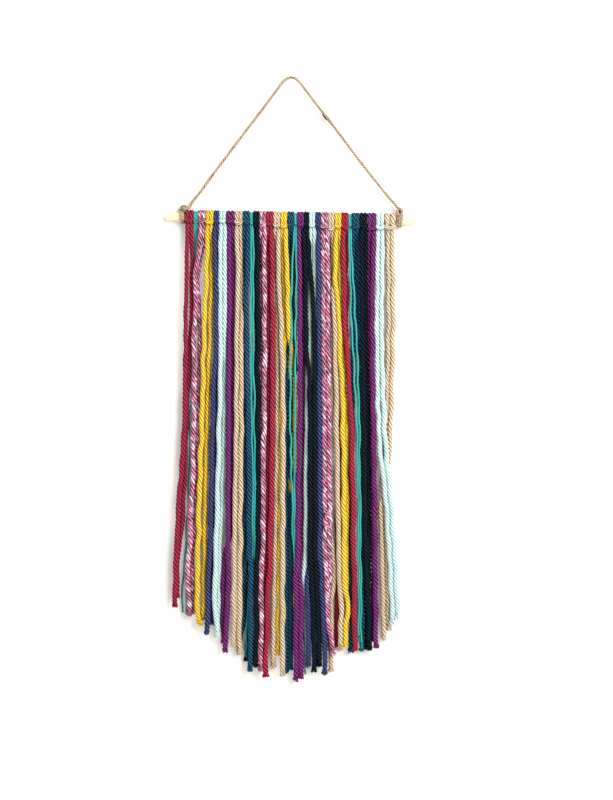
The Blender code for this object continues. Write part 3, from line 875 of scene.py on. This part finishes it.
for slot_name, colours in PLAIN_COLOURS.items():
    plain, _, _ = make_yarn_material("yarn_" + slot_name, *colours)
    add_yarns(slot_name, plain)


# The variegated pink yarns
# They are the same four plies, space dyed: each ply runs from white through pink and magenta
# to dark wine red and back every centimetre or so, and no two plies change together.
PINK_STEPS = (
    (0.40, (58, 2, 26)), (0.46, (138, 26, 80)), (0.52, (206, 80, 140)),
    (0.57, (244, 150, 190)), (0.61, (255, 234, 244)),
)
DYE_ALONG = 105.0
DYE_SHIFT = 5.3


def make_pink_material():
    """The fibre group with a colour that changes along each ply on its own."""
    # Its second colour is the painted highlight on the ply crests, its third the painted shade in the
    # valleys and deep gaps.
    material, tree, fibre = make_yarn_material(
        "yarn_pink", (200, 90, 140), (248, 196, 218), (64, 2, 28), uneven=0.0
    )
    around, along = strand_place(tree)
    ply = maths(tree, "FLOOR", times(tree, around, float(PLIES)))
    dye_place = combine(tree, times(tree, ply, DYE_SHIFT), times(tree, along, DYE_ALONG), 0.0)
    dye = noise_of(tree, dye_place, 1.0, 1.0)
    ramp = add_node(tree, "ShaderNodeValToRGB")
    while len(ramp.color_ramp.elements) < len(PINK_STEPS):
        ramp.color_ramp.elements.new(0.5)
    for element, (place, colour) in zip(ramp.color_ramp.elements, PINK_STEPS):
        element.position = place
        element.color = linear(*colour)
    link(tree, (dye, ramp.inputs[0]), (ramp.outputs[0], fibre.inputs["Colour"]))
    return material


add_yarns("pink", make_pink_material())


# The turquoise yarns
# A thinner, smooth and slightly shiny yarn, tightly twisted from three fine plies, so that its
# surface is nearly round. It is knotted between the thick ones in the same way.
FINE_PLIES = 3
FINE_VALLEY = 0.1
FINE_PITCH = 7.0

# Its second colour is the painted highlight on the ply crests, its third the painted shade in the valleys
# and deep gaps.
turquoise_material, _, _ = make_yarn_material(
    "yarn_turquoise", (34, 176, 168), (118, 232, 224), (0, 84, 82),
    roughness=0.55, sheen=0.05, plies=FINE_PLIES, pitch=FINE_PITCH, depth=0.6, uneven=0.15,
)
add_yarns("turquoise", turquoise_material, FINE_PLIES, FINE_VALLEY, FINE_PITCH)


# The twine ties
# Three-ply jute twine, 3.7 mm thick over its plies. At each end of the dowel it is wrapped
# round twice and knotted on itself, and its cut end shows: on the right it faces the front.
TWINE_RADIUS = 1.85
TWINE_PLIES = 3
TWINE_POINTS_PER_PLY = 5
TWINE_PITCH = 10.5
TWINE_VALLEY = 0.3
TWINE_RING_STEP = 0.8
TWINE_PATCH_SCALE = 90.0
TWINE_SPECK_SCALE = 420.0
TUFT_FIBRES = 40


def make_twine_material():
    """Raw jute: pale tan with browner patches and dark specks."""
    # Its second colour is the painted highlight on the ply crests, its third the painted shade in the
    # valleys and deep gaps.
    material, tree, fibre = make_yarn_material(
        "jute_twine", (190, 168, 136), (230, 214, 186), (92, 72, 50),
        sheen=0.05, plies=TWINE_PLIES, pitch=TWINE_PITCH, depth=0.8,
    )
    place = add_node(tree, "ShaderNodeTexCoord").outputs["Object"]
    patches = spread(tree, noise_of(tree, place, TWINE_PATCH_SCALE), 0.56, 0.74, 0.0, 0.75)
    specks = spread(tree, noise_of(tree, place, TWINE_SPECK_SCALE, 1.0), 0.58, 0.66)
    flecked = mixed(tree, patches, linear(194, 172, 140), linear(128, 106, 78))
    flecked = mixed(tree, specks, flecked, linear(78, 54, 32))
    link(tree, (flecked, fibre.inputs["Colour"]))
    return material


twine_material = make_twine_material()


def twine_fine(points):
    """Close points on a smooth twine route, with a steady frame carried along it."""
    route = [(x, y, z, 0.0, 0.0, 0.0, TWINE_RADIUS, TWINE_RADIUS) for x, y, z in points]
    fine = smooth_route(route, TWINE_RING_STEP, TWINE_RING_STEP)
    outward = np.array((0.0, -1.0, 0.0))
    for index, direction in enumerate(unit(np.gradient(fine[:, :3], axis=0))):
        outward = outward - direction * outward.dot(direction)
        outward = outward / np.linalg.norm(outward)
        fine[index, 3:6] = outward
    return fine


def wrap_points(start_x, end_x, start_turn, end_turn, reach):
    """Points of a helix round the dowel; in degrees, turn 0 is its front and 90 its underside."""
    count = int(abs(end_turn - start_turn) / 30)
    points = []
    for step in range(count + 1):
        share = step / count
        turn = math.radians(start_turn + (end_turn - start_turn) * share)
        x = start_x + (end_x - start_x) * share
        points.append((x, -reach * math.cos(turn), axis_z(x) - reach * math.sin(turn)))
    return points


TIE_REACH = DOWEL_RADIUS + TWINE_RADIUS + 0.1
TIE_ROUTES = {
    "twine_tie_left": (
        [(-124.8, -0.2, -157.2), (-127.2, -1.6, -158.6), (-130.2, -3.4, -159.4), (-133.2, -2.8, -158.8),
         (-134.6, -0.4, -157.0), (-133.0, 1.4, -155.2), (-130.0, 1.2, -155.0), (-128.2, -0.4, -156.6),
         (-129.6, -2.4, -157.6), (-132.2, -2.6, -156.4), (-134.6, -1.0, -158.2), (-135.0, 0.4, -161.4)]
        + wrap_points(-134.6, -130.4, 285, 975, TIE_REACH)
        + [(-130.2, -6.2, -160.6), (-131.6, -5.2, -157.2)]
    ),
    "twine_tie_right": (
        [(130.2, -0.2, -157.6), (132.6, -1.6, -158.8), (134.8, -2.8, -161.4), (134.6, -4.0, -164.8),
         (131.8, -5.4, -166.8), (129.2, -4.8, -165.2), (128.8, -3.0, -161.8), (130.4, -1.2, -159.6),
         (132.2, 1.6, -160.4), (133.0, 2.2, -163.2), (133.8, 1.2, -166.2)]
        + wrap_points(134.6, 129.2, 285, 1035, TIE_REACH)
        + [(128.8, -5.6, -177.8), (128.9, -9.0, -176.4)]
    ),
}
twine_outline = plied_section(TWINE_PLIES, TWINE_POINTS_PER_PLY, TWINE_VALLEY)

for seed, (tie_name, tie_route) in enumerate(TIE_ROUTES.items()):
    tube, shape = twisted_tube(twine_fine(tie_route), twine_outline, TWINE_PITCH, seed, 0.0)
    tuft = loose_fibres(shape["line"][-1], shape["ahead"][-1], TWINE_RADIUS, TUFT_FIBRES, seed)
    tie_mesh = mesh_from_tubes(tie_name + "_twine", [tube, *tuft])
    add_piece(tie_name + "_twine", tie_mesh, twine_material, tie_name)


# The hanger
# The same jute twine runs from the left tie up over the support and down to the right tie. The
# weight of the hanging pulls it nearly straight, and it bends softly where it is held up. Stray
# fibres stand off it, one place is a thick slub, and two dark bark splinters are spun into it.
HANGER_ROUTE = (
    (-124.8, -157.2), (-121.8, -152.6), (-119.0, -148.2), (-109.2, -136.0), (-93.4, -114.0),
    (-76.6, -92.0), (-60.2, -70.1), (-43.4, -48.2), (-27.0, -26.6), (-15.6, -11.2),
    (-7.6, -1.2), (0.0, 1.9), (7.4, -1.6), (15.4, -11.2), (27.0, -26.4),
    (44.0, -48.2), (60.8, -70.1), (77.2, -92.0), (94.2, -114.0), (111.8, -136.0),
    (123.2, -149.6), (130.2, -157.6),
)
HANGER_SEED = 77
HANGER_ALONG = 5000.0
SLUB_AT = (44.0, -48.2)
SLUB_SWELL = 0.4
SLUB_REACH = 6.0
HAIR_SEED = 12
HAIR_COUNT = 150
HAIR_RADIUS = 0.07
HAIR_REACH = (3.0, 9.0)
HAIR_LIFT = (0.5, 2.6)
HAIR_CURL = 0.8
HAIR_STEPS = 5
HAIR_SIDES = 3
BARK_POINTS = (
    ((37.4, -42.6), (39.3, -45.2), (41.4, -48.2), (43.2, -51.0)),
    ((-4.8, -0.8), (-2.8, 0.6), (-0.8, 1.4), (1.2, 1.0)),
)
BARK_WIDTHS = (0.35, 1.05, 1.1, 0.3)
BARK_ALONG = (0.0, 3.0, 6.5, 9.5)
BARK_Y = -1.3
BARK_SIDES = 8
BARK_ACROSS = np.array((0.8, 0.0, 0.6))
BARK_THROUGH = np.array((0.0, 0.6, 0.0))
BARK_MOTTLE_SCALE = 900.0
hanger_fine = twine_fine([(x, 0.0, z) for x, z in HANGER_ROUTE])
from_slub = (hanger_fine[:, 0] - SLUB_AT[0]) ** 2 + (hanger_fine[:, 2] - SLUB_AT[1]) ** 2
hanger_fine[:, 6:8] *= 1 + SLUB_SWELL * np.exp(-from_slub / SLUB_REACH**2)[:, None]
hanger_tube, hanger_shape = twisted_tube(hanger_fine, twine_outline, TWINE_PITCH, HANGER_SEED, HANGER_ALONG)
hanger_mesh = mesh_from_tubes("hanger_twine_plied", [hanger_tube])
hanger = add_piece("hanger_twine_plied", hanger_mesh, twine_material, "hanger_twine")


def make_hairs():
    """Thin fibres that leave the twine at a shallow angle and curl away from it."""
    chance = random.Random(HAIR_SEED)
    hairs = []
    for _ in range(HAIR_COUNT):
        spot = chance.randrange(4, len(hanger_shape["line"]) - 4)
        ahead = hanger_shape["ahead"][spot] * chance.choice((-1, 1))
        turn = chance.uniform(0, math.tau)
        out = math.cos(turn) * hanger_shape["across"][spot] + math.sin(turn) * hanger_shape["outward"][spot]
        reach, lift = chance.uniform(*HAIR_REACH), chance.uniform(*HAIR_LIFT)
        start = hanger_shape["line"][spot] + out * TWINE_RADIUS * 0.8
        side = unit(np.cross(ahead, out))
        rings = []
        for step in range(HAIR_STEPS + 1):
            share = step / HAIR_STEPS
            curl = side * HAIR_CURL * math.sin(share * 3)
            middle = start + ahead * reach * share + out * lift * share**1.5 + curl
            rings.append(round_ring(middle, HAIR_RADIUS * (1.1 - share * 0.7), out, side, HAIR_SIDES))
        hairs.append((np.array(rings), [reach * step / HAIR_STEPS for step in range(HAIR_STEPS + 1)]))
    return mesh_from_tubes("hanger_hairs", hairs)


hairs = add_piece("hanger_hairs", make_hairs(), twine_material, "hanger_twine")


def make_bark():
    """Flat dark splinters, pointed at both ends, that lie along the twine."""
    tubes = []
    for points in BARK_POINTS:
        rings = [
            round_ring(np.array((x, BARK_Y, z)), width, BARK_ACROSS, BARK_THROUGH, BARK_SIDES)
            for (x, z), width in zip(points, BARK_WIDTHS)
        ]
        tubes.append((np.array(rings), BARK_ALONG))
    return mesh_from_tubes("hanger_bark", tubes)


def make_bark_material():
    """Dark brown bark with a mottled tint."""
    material, tree, shader = new_material("twine_bark", 0.8)
    place = add_node(tree, "ShaderNodeTexCoord").outputs["Object"]
    tint = spread(tree, noise_of(tree, place, BARK_MOTTLE_SCALE), 0.35, 0.65)
    link(tree, (mixed(tree, tint, linear(44, 26, 16), linear(92, 60, 36)), shader.inputs["Base Color"]))
    return material


bark = add_piece("hanger_bark", make_bark(), make_bark_material(), "hanger_twine")


# The stage
# A white backdrop close behind, a plain pale floor below it, soft studio light from the upper
# right and a camera that looks straight on, a little below the middle of the hanging.
BACKDROP_Y = 8.8
BACKDROP_WHITE = (252, 251, 249)
FLOOR_Z = -1150.0
FLOOR_GREY = (240, 238, 234)
CAMERA_X = 18.5
CAMERA_Z = -391.9
CAMERA_DISTANCE = 2400.0
CAMERA_AIM_Y = -2.5
FRAME_HEIGHT = 975.2
SKY_COLOUR = (1.0, 0.99, 0.975, 1.0)
SKY_STRENGTH = 0.76
LIGHTS_AIM = (0.0, 0.0, -0.35)


def stage_plane(name, size, place, tilt, colour, roughness):
    """One flat plane of the stage, which is no part of the hanging. Sizes are in metres."""
    bpy.ops.mesh.primitive_plane_add(size=1.0, location=place, rotation=(tilt, 0.0, 0.0))
    plane = bpy.context.active_object
    plane.name = name
    plane.scale = (*size, 1.0)
    material, tree, shader = new_material(name, roughness)
    shader.inputs["Base Color"].default_value = linear(*colour)
    plane.data.materials.append(material)
    return tree, shader


def see_through_from_behind(tree, shader):
    """Let a view from behind look through a plane to the back of the hanging."""
    either = add_node(tree, "ShaderNodeMixShader")
    link(
        tree, (add_node(tree, "ShaderNodeNewGeometry").outputs["Backfacing"], either.inputs[0]),
        (shader.outputs[0], either.inputs[1]),
        (add_node(tree, "ShaderNodeBsdfTransparent").outputs[0], either.inputs[2]),
        (either.outputs[0], tree.nodes["Material Output"].inputs["Surface"]),
    )


backdrop_place = (0.0, BACKDROP_Y * MM, FLOOR_Z * MM + 2.0)
see_through_from_behind(
    *stage_plane("backdrop", (6.0, 4.0), backdrop_place, math.radians(90), BACKDROP_WHITE, 0.9)
)
stage_plane("floor", (8.0, 8.0), (0.0, 0.0, FLOOR_Z * MM), 0.0, FLOOR_GREY, 0.8)

world = bpy.data.worlds.new("studio")
world.use_nodes = True
world.node_tree.nodes["Background"].inputs["Color"].default_value = SKY_COLOUR
world.node_tree.nodes["Background"].inputs["Strength"].default_value = SKY_STRENGTH
scene.world = world
scene.view_settings.view_transform = "Standard"


def area_light(name, place, size, watts, colour):
    """A square soft light that looks at the middle of the hanging. Its place is in metres."""
    light = bpy.data.lights.new(name, "AREA")
    light.size = size
    light.energy = watts
    light.color = colour
    holder = bpy.data.objects.new(name, light)
    scene.collection.objects.link(holder)
    holder.location = place
    direction = Vector(LIGHTS_AIM) - Vector(place)
    holder.rotation_euler = direction.to_track_quat("-Z", "Y").to_euler()


area_light("key", (0.95, -1.8, 0.35), 1.1, 44.0, (1.0, 0.985, 0.96))
area_light("rear", (-1.4, 2.2, 0.9), 1.6, 60.0, (1.0, 1.0, 1.0))

camera_data = bpy.data.cameras.new("camera")
camera_data.sensor_width = 36.0
camera_data.lens = camera_data.sensor_width / 2 * CAMERA_DISTANCE / (FRAME_HEIGHT / 2)
camera = bpy.data.objects.new("camera", camera_data)
scene.collection.objects.link(camera)
camera.location = (CAMERA_X * MM, (CAMERA_AIM_Y - CAMERA_DISTANCE) * MM, CAMERA_Z * MM)
camera.rotation_euler = (math.radians(90), 0.0, 0.0)
scene.camera = camera

bpy.context.view_layer.update()
